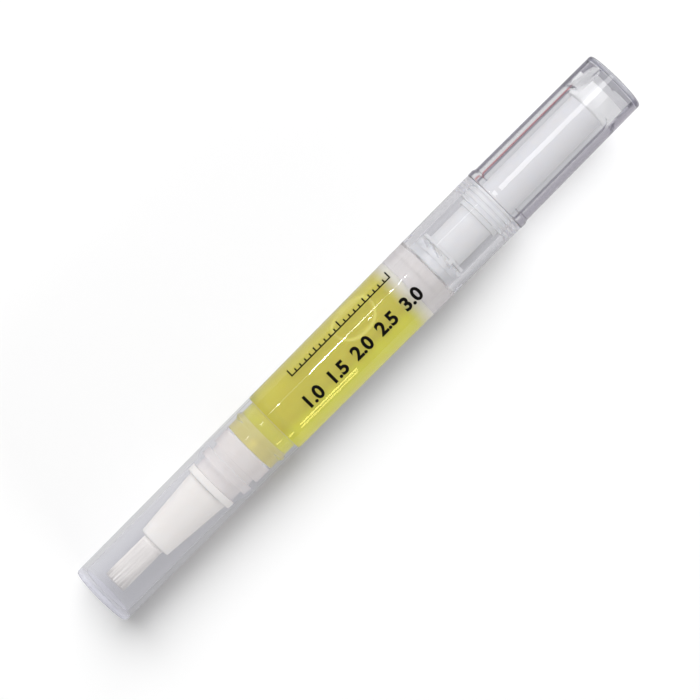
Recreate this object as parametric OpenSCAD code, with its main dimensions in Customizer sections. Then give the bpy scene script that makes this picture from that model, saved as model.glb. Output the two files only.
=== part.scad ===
// Twist-up oil pen with a brush tip, lying on its side with its axis along X.
// The closed end of the cap points to -X and the twist knob to +X.
// Every piece is drawn along a local Z axis that starts at the seam between cap and barrel
// and grows towards the knob; along_pen() then lays the pen down.

/* [Barrel] */
// Length of the barrel from the cap seam to the knob seam
barrel_length = 57.7; // [54:0.1:70]
// How far the barrel stands out over the cap at their seam
barrel_step = 0.025; // [0.01:0.005:0.1]
// Difference between the outside diameters at the two ends of the barrel
barrel_taper = 0.63; // [0.3:0.01:0.8]
// Bore of the oil chamber
chamber_d = 10; // [9.4:0.1:10.6]
// Length of the rear stretch of the barrel that holds the mechanism
mechanism_length = 17.1; // [14:0.1:22]
// Width of the step between the chamber and the bore of the mechanism
chamber_step = 0.2; // [0.15:0.05:0.4]
// Width of the grooves that keep the mechanism from turning
key_width = 1; // [0.6:0.1:1.6]
// Depth of those grooves
key_depth = 0.3; // [0.2:0.05:0.4]

/* [Neck] */
// Length of the neck in front of the cap seam
neck_length = 15.73; // [14:0.01:18]
// Width of the shoulder between the chamber and the bore of the neck
chamber_shoulder = 1.05; // [0.8:0.05:1.3]
// Wall of the neck
neck_wall = 1.6; // [1.4:0.05:1.8]
// Wall of the thin tip of the neck
neck_tip_wall = 0.7; // [0.6:0.05:0.9]
// Length of the thin tip
neck_tip_length = 2.43; // [1.5:0.01:3]
// Length of the guide ring behind the tip
neck_ring_length = 1.85; // [1:0.05:2.5]
// Depth of the groove behind the guide ring
neck_groove_depth = 0.8; // [0.3:0.05:1]
// Width of that groove
neck_groove_width = 1.35; // [0.8:0.05:2]
// Height of the bead that grips the cap
bead_height = 0.475; // [0.3:0.005:0.6]
// Width of the bead
bead_width = 1.7; // [1:0.1:2.2]
// Distance from the cap seam to the middle of the bead
bead_setback = 3.5; // [2.5:0.1:5]

/* [Cap] */
// Wall of the cap near its closed end
cap_side_wall = 1.015; // [0.8:0.005:1.2]
// Wall of the cap round its mouth
cap_mouth_wall = 0.47; // [0.4:0.01:0.8]
// Thickness of the closed end
cap_end_wall = 1.5; // [1:0.1:2.5]
// Room between the bristle tips and the closed end
cap_tip_room = 2.1; // [1:0.1:6]
// Radius of the outer edge at the closed end
cap_edge_r = 0.6; // [0.2:0.1:1]
// Length of the cone between the two bores of the cap
cap_cone_length = 1.2; // [0.8:0.1:2]
// Radial room between the cap and the bead or the nozzle flange
cap_gap = 0.08; // [0.05:0.01:0.2]

/* [Brush] */
// Diameter of the bundle of bristles
bundle_d = 4.7; // [4:0.1:5]
// Length of the bristles that stand out of the nozzle
bristle_length = 10.46; // [7:0.01:13]
// How unevenly long the bristles are
bristle_unevenness = 0.7; // [0:0.1:1.5]
// Number of bristles
bristle_count = 420; // [300:10:500]
// Width of a bristle against the pitch of the spiral that they stand on
bristle_fill = 1.5; // [0.8:0.1:1.5]
// Length of the fused root of the bundle
root_length = 3; // [2.4:0.1:4]
// Wall of the ring that holds the root
holder_wall = 0.45; // [0.3:0.05:0.5]

/* [Nozzle] */
// Length of the nozzle cone
nozzle_length = 14.09; // [11:0.01:18]
// Wall of the cone round the holder of the bristles
nozzle_tip_wall = 0.44; // [0.4:0.01:0.7]
// How far the flange that seats on the neck stands out over the cone
flange_rise = 0.75; // [0.4:0.05:1]
// How far the flange stays inside the outside of the neck
flange_inset = 0.35; // [0.2:0.05:0.5]
// Thickness of the flange
flange_thickness = 1.52; // [1:0.01:2]
// Length of the plug behind the flange
nozzle_plug_length = 9.2; // [7:0.1:10]
// Outside diameter of the feed tube
tube_d = 1.6; // [1.4:0.1:2]
// Bore of the feed tube
tube_bore_d = 0.9; // [0.6:0.05:1]
// Wall of the nozzle plug round the stem of the neck plug
plug_wall = 1.44; // [1.2:0.02:1.7]
// Length of that stem
stem_length = 4.6; // [3.5:0.1:6]
// Length of the part of the neck plug that fills the neck
neck_plug_length = 3.3; // [2.6:0.1:4]
// Metering hole through the neck plug
meter_hole_d = 1; // [0.5:0.1:1.2]

/* [Piston] */
// Length of the piston
piston_length = 6.1; // [5.8:0.1:8]
// Height of the two sealing lips
lip_height = 0.41; // [0.2:0.01:0.6]
// Width of each sealing lip
lip_width = 1; // [0.6:0.1:1.2]
// Radial room between the lips and the chamber
piston_gap = 0.04; // [0.02:0.01:0.08]

/* [Drive] */
// Depth of the two flats on the screw rod
flat_depth = 0.55; // [0.4:0.05:0.7]
// Length of thread that stays in the sleeve when the pen is empty
screw_engagement = 5; // [4:0.5:6]
// Length of the nut
nut_length = 1.6; // [1.4:0.1:2.4]
// Thickness of the ratchet ring under its teeth
ratchet_base = 0.55; // [0.5:0.05:1]
// Number of ratchet teeth
ratchet_teeth = 12; // [10:1:16]
// Height of the ratchet teeth
ratchet_tooth_height = 1.1; // [0.8:0.1:1.4]
// Thickness of the click ring
click_thickness = 0.6; // [0.5:0.05:0.9]
// Wall of the rear bearing round the drive sleeve
bearing_wall = 1.36; // [1.2:0.01:1.5]
// Wall of the drive sleeve
sleeve_wall = 1.13; // [1:0.01:1.3]
// Length of the keyed stretch at the front of the drive sleeve
sleeve_key_length = 7.5; // [6.5:0.5:9]
// Height of the collar that keeps the sleeve in the barrel
sleeve_collar_height = 0.65; // [0.4:0.05:0.8]
// Width of that collar
sleeve_collar_width = 1; // [0.8:0.1:1.5]
// Length of the rear bearing
bearing_length = 3.5; // [3.2:0.1:4.5]

/* [Knob] */
// Room in the knob behind the screw rod
screw_room = 5.51; // [4:0.01:14]
// How far the collar stands out over the barrel
collar_step = 0.06; // [0.02:0.01:0.3]
// How far the collar stands out over the knob behind it
collar_height = 0.275; // [0.2:0.005:0.6]
// Difference between the diameters behind the collar and at the free end
knob_taper = 0.42; // [0.1:0.02:0.8]
// Width of the collar
collar_width = 1.3; // [0.8:0.1:2]
// Wall of the knob
knob_wall = 1.55; // [1.4:0.01:1.8]
// Thickness of the closed end
knob_end_wall = 1; // [0.8:0.1:2]
// Depth of the eight-sided socket
socket_depth = 5.6; // [4.8:0.1:7]
// How far the corners of the socket stay inside the bore
socket_step = 0.1; // [0.1:0.05:0.3]
// Length of the eight-sided head of the sleeve with its lead-in
head_length = 4.3; // [3.8:0.1:4.6]
// Radius of the outer edge at the free end
knob_edge_r = 0.4; // [0.2:0.1:0.8]

/* [Hidden] */
$fn = 72;

// Clearances: pieces fixed to each other, pieces that turn or slide, and the seam at the knob
seat_gap = 0.03;
run_gap = 0.06;
seam_gap = 0.1;
// One overrun for every cut that has to break through a face
overrun = 1;
// Steps in the rounded edges of the profiles
edge_steps = 6;

// Places along the pen, counted from the cap seam
chamber_length = barrel_length - mechanism_length;
neck_tip_z = -neck_length;
flange_z = neck_tip_z - seat_gap - flange_thickness;
nozzle_tip_z = flange_z - nozzle_length;
bristle_tip_z = nozzle_tip_z - bristle_length;
cap_floor_z = bristle_tip_z - cap_tip_room;
cap_end_z = cap_floor_z - cap_end_wall;
nozzle_plug_end_z = neck_tip_z + nozzle_plug_length;
stem_front_z = nozzle_plug_end_z - stem_length;
neck_plug_end_z = nozzle_plug_end_z + seat_gap + neck_plug_length;
knob_front_z = barrel_length + seam_gap;

// Neck: the bead is a flat-topped ridge with two sloping sides
neck_bore_d = chamber_d - 2 * chamber_shoulder;
neck_d = neck_bore_d + 2 * neck_wall;
neck_tip_d = neck_bore_d + 2 * neck_tip_wall;
neck_groove_d = neck_d - 2 * neck_groove_depth;
bead_d = neck_d + 2 * bead_height;
neck_ring_z = neck_tip_z + neck_tip_length;
neck_groove_z = neck_ring_z + neck_ring_length;
bead_flat_share = 0.3;
shoulder_edge_r = 0.25;
neck_edge = 0.2;

// Cap: it passes the bead and the flange, and its cone ends in front of the guide ring
flange_d = neck_d - 2 * flange_inset;
cap_mouth_bore_d = bead_d + 2 * cap_gap;
cap_mouth_d = cap_mouth_bore_d + 2 * cap_mouth_wall;
cap_bore_d = flange_d + 4 * cap_gap;
cap_end_d = cap_bore_d + 2 * cap_side_wall;
cap_cone_z = neck_ring_z - cap_gap - cap_cone_length;
cap_fillet = 0.4;
gate_mark_d = 1.6;
gate_mark_depth = 0.2;

// Barrel
barrel_front_d = cap_mouth_d + 2 * barrel_step;
barrel_rear_d = barrel_front_d + barrel_taper;

// Chamber: its front narrows to the neck bore in a cone
chamber_front_z = 0.8;
chamber_cone_length = 1.7;
mechanism_bore_d = chamber_d + 2 * chamber_step;

// Brush
root_z = nozzle_tip_z + seat_gap;
root_solid_length = 1;
holder_d = bundle_d + 2 * (holder_wall + seat_gap);
holder_bore_d = holder_d + 2 * seat_gap;
holder_bore_depth = root_length + 2 * seat_gap;
holder_setback = 0.3;
bristle_overlap = 0.3;
golden_angle = 180 * (3 - sqrt(5));
bundle_fill_share = 0.93;
bristle_pitch = bundle_d / 2 * bundle_fill_share / sqrt(bristle_count);
bristle_d = bristle_fill * bristle_pitch;
bristle_waves = 7;

// Nozzle
nozzle_tip_d = holder_bore_d + 2 * nozzle_tip_wall;
nozzle_base_d = flange_d - 2 * flange_rise;
nozzle_plug_d = neck_bore_d - 2 * seat_gap;
nozzle_edge_r = 0.25;
channel_d = tube_d + 2 * run_gap;
stem_bore_d = nozzle_plug_d - 2 * plug_wall;
stem_d = stem_bore_d - 2 * seat_gap;
plug_chamfer = 0.4;

// Feed tube and neck plug
tube_socket_depth = 2.5;
tube_front_z = root_z + root_solid_length + seat_gap;
tube_rear_z = stem_front_z + tube_socket_depth - seat_gap;
plug_cup_d = stem_bore_d + plug_wall / 2;
plug_cup_depth = 1.4;

// Oil: it lies seat_gap inside the walls, with one air bubble against the upper wall
bubble_setback = 10;
bubble_length = 8.6;
bubble_d = 4.2;
bubble_turn = 27;
bubble_bulge = 0.4;

// Piston
piston_d = chamber_d - 2 * piston_gap;
piston_waist_d = piston_d - 2 * lip_height;
piston_rest_gap = 0.4;
piston_rear_z = chamber_length - piston_rest_gap;
piston_front_z = piston_rear_z - piston_length;
piston_nose_length = 1.1;
piston_lip_chamfer = 0.25;
front_clearance = 0.3;
piston_travel = piston_front_z + piston_nose_length - chamber_front_z - chamber_cone_length / 2
  - front_clearance;
socket_floor = 1.9;
head_thickness = 1.4;

// Rear bearing, drive sleeve and screw rod, one inside the other
insert_d = mechanism_bore_d - 2 * seat_gap;
insert_key_width = key_width - 2 * seat_gap;
bearing_bore_d = insert_d - 2 * bearing_wall;
sleeve_d = bearing_bore_d - 2 * run_gap;
sleeve_bore_d = sleeve_d - 2 * sleeve_wall;
screw_d = sleeve_bore_d - 4 * run_gap;
screw_flats = screw_d - 2 * flat_depth;
sleeve_flats = screw_flats + 4 * run_gap;
sleeve_collar_d = sleeve_d + 2 * sleeve_collar_height;
spigot_step = 0.6;
spigot_d = sleeve_d - 2 * spigot_step;

// Screw rod: its head snaps into the piston
head_undercut = 0.6;
screw_neck_d = screw_flats - flat_depth;
screw_head_d = screw_neck_d + 2 * head_undercut;
head_socket_d = screw_head_d + 2 * run_gap;
head_front_z = piston_front_z + socket_floor + run_gap;
screw_shoulder_z = piston_rear_z + run_gap;
screw_chamfer = 0.4;

// Nut, ratchet ring and click ring, one behind the other
nut_bore_d = screw_d + 2 * run_gap;
nut_z = chamber_length + seat_gap;
nut_edge = 0.25;
ratchet_z = nut_z + nut_length + seat_gap;
spigot_room = 0.25;
ratchet_bore_d = spigot_d + 2 * spigot_room;
tooth_z = ratchet_z + ratchet_base;
tooth_top_z = tooth_z + ratchet_tooth_height;
tooth_chord = insert_d * sin(180 / ratchet_teeth);
click_lift = 0.3;
click_z = tooth_top_z + click_lift;
click_end_z = click_z + click_thickness;
click_side_gap = 0.25;
click_d = insert_d - 2 * click_side_gap;
click_hub_wall = 0.5;
click_slot = 0.3;
click_arms = 2;
click_arm_turn = 125;
click_root_turn = 28;
nose_turn = 9;
nose_side_turn = 2;
nose_gap = 0.12;

// Drive sleeve
sleeve_front_z = click_z - seat_gap;
sleeve_shoulder_z = click_end_z + seat_gap;
collar_rear_z = barrel_length - seat_gap - bearing_length - run_gap;
screw_rear_z = sleeve_shoulder_z + screw_engagement + piston_travel;
socket_end_z = screw_rear_z + screw_room;
socket_z = socket_end_z - socket_depth;
head_room = 2.5;
head_end_z = socket_end_z - head_room;
head_z = head_end_z - head_length;
head_lead_length = 0.55;
head_arch_length = 1.75;
head_turn = 13;

// Rear bearing
bearing_z = barrel_length - seat_gap - bearing_length;
bearing_groove_depth = 0.35;
bearing_groove_width = 0.5;
bearing_groove_shares = [0.2, 0.5, 0.8];

// Knob
knob_end_z = socket_end_z + knob_end_wall;
collar_d = barrel_rear_d + 2 * collar_step;
knob_front_d = collar_d - 2 * collar_height;
knob_rear_d = knob_front_d - knob_taper;
knob_bore_d = knob_front_d - 2 * knob_wall;
knob_bore_taper = 0.1;
socket_corner_d = knob_bore_d - 2 * socket_step;
head_corner_d = socket_corner_d - 2 * seat_gap;
head_flats_d = head_corner_d * cos(180 / 8);
knob_collar_edge = 0.3;
knob_collar_foot = 0.5;

// The pen lies on its collar
axis_height = collar_d / 2;
middle_z = (cap_end_z + knob_end_z) / 2;

// Lays a piece down on the ground along X
module along_pen() {
  translate([-middle_z, 0, axis_height]) rotate([0, 90, 0]) children();
}

// Points of a rounded corner: middle at radius r and place z, from angle a to angle b
function corner(r, z, radius, a, b) =
  [for (i = [0:edge_steps]) let (t = a + (b - a) * i / edge_steps)
    [r + radius * cos(t), z + radius * sin(t)]];

// A plain ring from z to z + length
module ring(outer_d, inner_d, z, length) {
  translate([0, 0, z]) difference() {
    cylinder(d = outer_d, h = length);
    translate([0, 0, -overrun]) cylinder(d = inner_d, h = length + 2 * overrun);
  }
}

// A bar across the pen whose two ends are keys, or cut the grooves for them
module keys(width, diameter, z, length) {
  translate([-width / 2, -diameter / 2, z]) cube([width, diameter, length]);
}

// A round bar with two flats
module flatted_bar(diameter, flats, z, length) {
  translate([0, 0, z]) intersection() {
    cylinder(d = diameter, h = length);
    translate([-flats / 2, -diameter, 0]) cube([flats, 2 * diameter, length]);
  }
}

// A slice of cake from angle a over turn degrees
module wedge(radius, a, turn, z, length) {
  steps = ceil(turn / 15);
  translate([0, 0, z]) linear_extrude(height = length)
    polygon(concat([[0, 0]],
      [for (i = [0:steps]) let (t = a + turn * i / steps) [radius * cos(t), radius * sin(t)]]));
}

module cap() {
  color("gainsboro", 0.45) along_pen() difference() {
    rotate_extrude() polygon(concat(
      [[0, cap_end_z]],
      corner(cap_end_d / 2 - cap_edge_r, cap_end_z + cap_edge_r, cap_edge_r, -90, 0),
      [[cap_mouth_d / 2, -seat_gap],
        [cap_mouth_bore_d / 2, -seat_gap],
        [cap_mouth_bore_d / 2, cap_cone_z + cap_cone_length],
        [cap_bore_d / 2, cap_cone_z]],
      corner(cap_bore_d / 2 - cap_fillet, cap_floor_z + cap_fillet, cap_fillet, 0, -90),
      [[0, cap_floor_z]]));
    translate([0, 0, cap_end_z - overrun]) cylinder(d = gate_mark_d, h = overrun + gate_mark_depth);
  }
}

// How far bristle number i stands out of the root: uneven ends on a slightly slanting face
function bristle_reach(i) =
  bristle_length - bristle_unevenness *
    (0.5 + 0.3 * sin(i * golden_angle * bristle_waves) + 0.2 * sin(i * golden_angle));

module bristles() {
  color("ivory") along_pen() union() {
    translate([0, 0, root_z]) cylinder(d = bundle_d, h = root_solid_length);
    ring(bundle_d, channel_d, root_z + root_solid_length / 2, root_length - root_solid_length / 2);
    for (i = [1:bristle_count]) rotate([0, 0, i * golden_angle])
      translate([bristle_pitch * sqrt(i), 0, root_z - bristle_reach(i)])
      cylinder(d = bristle_d, h = bristle_reach(i) + bristle_overlap, $fn = 4);
  }
}

module bristle_holder() {
  color("white") along_pen()
    ring(holder_d, bundle_d + 2 * seat_gap, root_z + holder_setback, root_length - holder_setback);
}

module nozzle() {
  color("whitesmoke") along_pen() rotate_extrude() polygon(concat(
    [[holder_bore_d / 2, nozzle_tip_z]],
    corner(nozzle_tip_d / 2 - nozzle_edge_r, nozzle_tip_z + nozzle_edge_r, nozzle_edge_r, -90, 0),
    [[nozzle_base_d / 2, flange_z],
      [flange_d / 2 - neck_edge, flange_z],
      [flange_d / 2, flange_z + neck_edge],
      [flange_d / 2, neck_tip_z - seat_gap],
      [nozzle_plug_d / 2, neck_tip_z - seat_gap],
      [nozzle_plug_d / 2, nozzle_plug_end_z - plug_chamfer],
      [nozzle_plug_d / 2 - plug_chamfer, nozzle_plug_end_z],
      [stem_bore_d / 2, nozzle_plug_end_z],
      [stem_bore_d / 2, stem_front_z - seat_gap],
      [channel_d / 2, stem_front_z - seat_gap],
      [channel_d / 2, root_z + holder_bore_depth],
      [holder_bore_d / 2, root_z + holder_bore_depth]]));
}

module feed_tube() {
  color("lightgray") along_pen() ring(tube_d, tube_bore_d, tube_front_z, tube_rear_z - tube_front_z);
}

module neck_plug() {
  color("wheat", 0.8) along_pen() rotate_extrude() polygon([
    [tube_d / 2 + seat_gap, stem_front_z],
    [stem_d / 2, stem_front_z],
    [stem_d / 2, nozzle_plug_end_z + seat_gap],
    [nozzle_plug_d / 2, nozzle_plug_end_z + seat_gap],
    [nozzle_plug_d / 2, neck_plug_end_z],
    [plug_cup_d / 2, neck_plug_end_z],
    [meter_hole_d / 2, neck_plug_end_z - plug_cup_depth],
    [meter_hole_d / 2, stem_front_z + tube_socket_depth],
    [tube_d / 2 + seat_gap, stem_front_z + tube_socket_depth]]);
}

module barrel() {
  color("whitesmoke", 0.4) along_pen() difference() {
    rotate_extrude() polygon(concat(
      [[neck_bore_d / 2, neck_tip_z],
        [neck_tip_d / 2, neck_tip_z],
        [neck_tip_d / 2, neck_ring_z],
        [neck_d / 2 - neck_edge, neck_ring_z],
        [neck_d / 2, neck_ring_z + neck_edge],
        [neck_d / 2, neck_groove_z],
        [neck_groove_d / 2, neck_groove_z],
        [neck_groove_d / 2, neck_groove_z + neck_groove_width],
        [neck_d / 2, neck_groove_z + neck_groove_width],
        [neck_d / 2, -bead_setback - bead_width / 2],
        [bead_d / 2, -bead_setback - bead_width / 2 * bead_flat_share],
        [bead_d / 2, -bead_setback + bead_width / 2 * bead_flat_share],
        [neck_d / 2, -bead_setback + bead_width / 2],
        [neck_d / 2, 0]],
      corner(barrel_front_d / 2 - shoulder_edge_r, shoulder_edge_r, shoulder_edge_r, -90, 0),
      [[barrel_rear_d / 2, barrel_length],
        [mechanism_bore_d / 2, barrel_length],
        [mechanism_bore_d / 2, chamber_length],
        [chamber_d / 2, chamber_length],
        [chamber_d / 2, chamber_front_z + chamber_cone_length / 2],
        [neck_bore_d / 2, chamber_front_z - chamber_cone_length / 2]]));
    keys(key_width, mechanism_bore_d + 2 * key_depth, chamber_length, mechanism_length + overrun);
  }
}

// The bubble is a round-ended bar that bulges into the oil from the upper wall
module bubble() {
  rotate([0, 0, 180 - bubble_turn])
    translate([chamber_d / 2 - bubble_d / 2 + bubble_bulge, 0, piston_front_z - bubble_setback]) {
      translate([0, 0, bubble_d / 2 - bubble_length / 2])
        cylinder(d = bubble_d, h = bubble_length - bubble_d);
      for (side = [-1, 1])
        translate([0, 0, side * (bubble_length - bubble_d) / 2]) sphere(d = bubble_d);
    }
}

module oil_fill() {
  color("khaki", 0.8) along_pen() difference() {
    rotate_extrude() polygon([
      [0, neck_plug_end_z + seat_gap],
      [neck_bore_d / 2 - seat_gap, neck_plug_end_z + seat_gap],
      [neck_bore_d / 2 - seat_gap, chamber_front_z - chamber_cone_length / 2],
      [chamber_d / 2 - seat_gap, chamber_front_z + chamber_cone_length / 2],
      [chamber_d / 2 - seat_gap, piston_front_z + piston_nose_length - seat_gap],
      [neck_bore_d / 2 - seat_gap, piston_front_z - seat_gap],
      [0, piston_front_z - seat_gap]]);
    bubble();
  }
}

module piston() {
  color("mistyrose", 0.8) along_pen() rotate_extrude() polygon([
    [0, piston_front_z],
    [neck_bore_d / 2 - seat_gap, piston_front_z],
    [piston_d / 2, piston_front_z + piston_nose_length],
    [piston_d / 2, piston_front_z + piston_nose_length + lip_width],
    [piston_waist_d / 2, piston_front_z + piston_nose_length + lip_width + piston_lip_chamfer],
    [piston_waist_d / 2, piston_rear_z - 2 * lip_width - piston_lip_chamfer],
    [piston_d / 2, piston_rear_z - 2 * lip_width],
    [piston_d / 2, piston_rear_z - lip_width],
    [piston_waist_d / 2, piston_rear_z - lip_width + piston_lip_chamfer],
    [piston_waist_d / 2, piston_rear_z],
    [screw_head_d / 2, piston_rear_z],
    [screw_neck_d / 2 + run_gap, piston_rear_z - lip_width],
    [screw_neck_d / 2 + run_gap, head_front_z + head_thickness + run_gap],
    [head_socket_d / 2, head_front_z + head_thickness + run_gap],
    [head_socket_d / 2, piston_front_z + socket_floor],
    [0, piston_front_z + socket_floor]]);
}

module screw_rod() {
  color("white") along_pen() union() {
    translate([0, 0, head_front_z]) cylinder(d = screw_head_d, h = head_thickness);
    translate([0, 0, head_front_z])
      cylinder(d = screw_neck_d, h = screw_shoulder_z - head_front_z + screw_chamfer);
    flatted_bar(screw_d, screw_flats, screw_shoulder_z, screw_rear_z - screw_chamfer - screw_shoulder_z);
    translate([0, 0, screw_rear_z - screw_chamfer]) intersection() {
      cylinder(d1 = screw_d, d2 = screw_d - 2 * screw_chamfer, h = screw_chamfer);
      translate([-screw_flats / 2, -screw_d, 0]) cube([screw_flats, 2 * screw_d, screw_chamfer]);
    }
  }
}

module thread_nut() {
  color("white") along_pen() difference() {
    union() {
      translate([0, 0, nut_z]) cylinder(d = insert_d, h = nut_length);
      keys(insert_key_width, insert_d + 2 * key_depth - 2 * seat_gap, nut_z, nut_length);
    }
    translate([0, 0, nut_z - overrun]) cylinder(d = nut_bore_d, h = nut_length + 2 * overrun);
    translate([0, 0, nut_z])
      cylinder(d1 = nut_bore_d + 2 * nut_edge, d2 = nut_bore_d, h = nut_edge);
  }
}

module ratchet_ring() {
  color("white") along_pen() difference() {
    union() {
      translate([0, 0, ratchet_z]) cylinder(d = insert_d, h = ratchet_base);
      keys(insert_key_width, insert_d + 2 * key_depth - 2 * seat_gap, ratchet_z, ratchet_base);
      intersection() {
        translate([0, 0, tooth_z - overrun]) cylinder(d = insert_d, h = ratchet_tooth_height + 2 * overrun);
        for (i = [0:ratchet_teeth - 1]) rotate([0, 0, i * 360 / ratchet_teeth])
          translate([0, 0, tooth_z]) rotate([90, 0, 90]) linear_extrude(height = insert_d)
          polygon([[0, -ratchet_base / 2], [tooth_chord, -ratchet_base / 2],
            [tooth_chord, 0], [0, ratchet_tooth_height]]);
      }
    }
    translate([0, 0, ratchet_z - overrun])
      cylinder(d = ratchet_bore_d, h = ratchet_base + ratchet_tooth_height + 2 * overrun);
  }
}

// The click ring: a hub on the sleeve, and two curved spring arms that trail behind their roots.
// The nose at the end of each arm stands behind the upright side of a ratchet tooth.
module click_ring() {
  hub_bore_d = spigot_d + 2 * seat_gap;
  hub_d = hub_bore_d + 2 * click_hub_wall;
  arm_inner_d = hub_d + 2 * click_slot;
  nose_end = 360 / ratchet_teeth - nose_side_turn;
  nose_start = nose_end - nose_turn;
  arm_start = nose_end - click_arm_turn;
  nose_height = click_lift + ratchet_tooth_height * arm_inner_d / 2 * sin(nose_start) / tooth_chord
    - nose_gap;
  color("white") along_pen() union() {
    ring(hub_d, hub_bore_d, click_z, click_thickness);
    for (i = [0:click_arms - 1]) rotate([0, 0, i * 360 / click_arms]) {
      intersection() {
        ring(click_d, arm_inner_d, click_z, click_thickness);
        wedge(click_d, arm_start, click_arm_turn, click_z - overrun, click_thickness + 2 * overrun);
      }
      intersection() {
        ring(click_d, hub_d - click_hub_wall, click_z, click_thickness);
        wedge(click_d, arm_start, click_root_turn, click_z - overrun,
          click_thickness + 2 * overrun);
      }
      intersection() {
        ring(click_d, arm_inner_d, click_z - nose_height, nose_height + click_thickness / 2);
        wedge(click_d, nose_start, nose_turn, click_z - nose_height - overrun, nose_height + 2 * overrun);
      }
    }
  }
}

// The eight-sided head: a cone leads into the flats, which leaves an arch on each of them
module sleeve_head() {
  intersection() {
    rotate_extrude() polygon([
      [0, head_z],
      [sleeve_d / 2, head_z],
      [head_flats_d / 2, head_z + head_lead_length],
      [head_corner_d / 2, head_z + head_lead_length + head_arch_length],
      [head_corner_d / 2, head_end_z],
      [0, head_end_z]]);
    translate([0, 0, head_z]) rotate([0, 0, head_turn]) cylinder(d = head_corner_d, h = head_length, $fn = 8);
  }
}

module drive_sleeve() {
  color("whitesmoke") along_pen() difference() {
    union() {
      rotate_extrude() polygon([
        [0, sleeve_front_z],
        [spigot_d / 2, sleeve_front_z],
        [spigot_d / 2, sleeve_shoulder_z],
        [sleeve_d / 2, sleeve_shoulder_z],
        [sleeve_d / 2, collar_rear_z - sleeve_collar_width],
        [sleeve_collar_d / 2, collar_rear_z - sleeve_collar_width],
        [sleeve_collar_d / 2, collar_rear_z],
        [sleeve_d / 2, collar_rear_z],
        [sleeve_d / 2, head_end_z - head_length / 2],
        [0, head_end_z - head_length / 2]]);
      sleeve_head();
    }
    flatted_bar(sleeve_bore_d, sleeve_flats, sleeve_front_z - overrun, sleeve_key_length + 2 * overrun);
    translate([0, 0, sleeve_front_z + sleeve_key_length])
      cylinder(d = sleeve_bore_d, h = head_end_z - sleeve_front_z - sleeve_key_length + overrun);
  }
}

module rear_bearing() {
  color("white") along_pen() difference() {
    union() {
      translate([0, 0, bearing_z]) cylinder(d = insert_d, h = bearing_length);
      keys(insert_key_width, insert_d + 2 * key_depth - 2 * seat_gap, bearing_z, bearing_length);
    }
    translate([0, 0, bearing_z - overrun]) cylinder(d = bearing_bore_d, h = bearing_length + 2 * overrun);
    for (share = bearing_groove_shares)
      ring(insert_d + 2 * key_depth + overrun, insert_d - 2 * bearing_groove_depth,
        bearing_z + share * bearing_length - bearing_groove_width / 2, bearing_groove_width);
  }
}

module knob() {
  color("lavender", 0.5) along_pen() difference() {
    rotate_extrude() polygon(concat(
      [[0, knob_front_z]],
      corner(collar_d / 2 - knob_collar_edge, knob_front_z + knob_collar_edge, knob_collar_edge, -90, 0),
      [[collar_d / 2, knob_front_z + collar_width - knob_collar_edge],
        [knob_front_d / 2, knob_front_z + collar_width + knob_collar_foot]],
      corner(knob_rear_d / 2 - knob_edge_r, knob_end_z - knob_edge_r, knob_edge_r, 0, 90),
      [[0, knob_end_z]]));
    translate([0, 0, knob_front_z - overrun])
      cylinder(d1 = knob_bore_d, d2 = knob_bore_d - knob_bore_taper, h = socket_z - knob_front_z + overrun);
    translate([0, 0, socket_z - overrun]) rotate([0, 0, head_turn])
      cylinder(d = socket_corner_d, h = socket_depth + overrun, $fn = 8);
  }
}

cap();
bristles();
bristle_holder();
nozzle();
feed_tube();
neck_plug();
barrel();
oil_fill();
piston();
screw_rod();
thread_nut();
ratchet_ring();
click_ring();
drive_sleeve();
rear_bearing();
knob();
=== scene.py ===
import math
import random

import bmesh
import bpy
from mathutils import Matrix, Vector


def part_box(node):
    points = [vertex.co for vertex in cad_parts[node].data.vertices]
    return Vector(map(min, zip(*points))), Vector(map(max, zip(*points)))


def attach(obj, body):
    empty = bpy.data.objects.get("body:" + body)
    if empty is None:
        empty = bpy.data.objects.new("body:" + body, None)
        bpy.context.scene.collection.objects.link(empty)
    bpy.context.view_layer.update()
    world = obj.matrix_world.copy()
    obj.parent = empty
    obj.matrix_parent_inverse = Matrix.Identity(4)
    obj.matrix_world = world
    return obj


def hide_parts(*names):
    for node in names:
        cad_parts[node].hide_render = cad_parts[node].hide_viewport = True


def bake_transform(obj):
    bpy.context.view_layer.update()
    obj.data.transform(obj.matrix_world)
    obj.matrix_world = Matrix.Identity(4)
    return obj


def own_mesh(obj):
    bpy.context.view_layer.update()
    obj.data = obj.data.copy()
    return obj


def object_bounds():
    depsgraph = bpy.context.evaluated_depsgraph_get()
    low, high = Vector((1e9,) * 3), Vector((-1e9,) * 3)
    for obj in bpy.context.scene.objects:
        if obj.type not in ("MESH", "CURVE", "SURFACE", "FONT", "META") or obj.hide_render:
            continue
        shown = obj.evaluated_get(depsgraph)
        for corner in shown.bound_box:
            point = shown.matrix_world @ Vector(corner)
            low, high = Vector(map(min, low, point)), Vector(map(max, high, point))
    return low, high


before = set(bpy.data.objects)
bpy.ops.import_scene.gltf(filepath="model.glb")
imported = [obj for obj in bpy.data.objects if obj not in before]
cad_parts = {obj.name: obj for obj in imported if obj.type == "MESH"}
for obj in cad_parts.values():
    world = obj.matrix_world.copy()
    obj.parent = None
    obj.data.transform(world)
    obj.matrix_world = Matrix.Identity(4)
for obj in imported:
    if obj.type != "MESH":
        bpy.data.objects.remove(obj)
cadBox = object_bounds()

mm = 0.001
seamGap = 0.03  # the cap stops this far in front of the barrel's shoulder, mm
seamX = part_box("cap")[1].x + seamGap * mm  # places along the pen are counted from here, in mm
axisHeight = (cadBox[0].z + cadBox[1].z) / 2
penMiddle = Vector((0, 0, axisHeight))


def along(z):
    return seamX + z * mm


def span(node):  # front end, rear end and radius of a CAD node, in mm
    low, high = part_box(node)
    return (low.x - seamX) / mm, (high.x - seamX) / mm, (high.y - low.y) / 2 / mm


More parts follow.
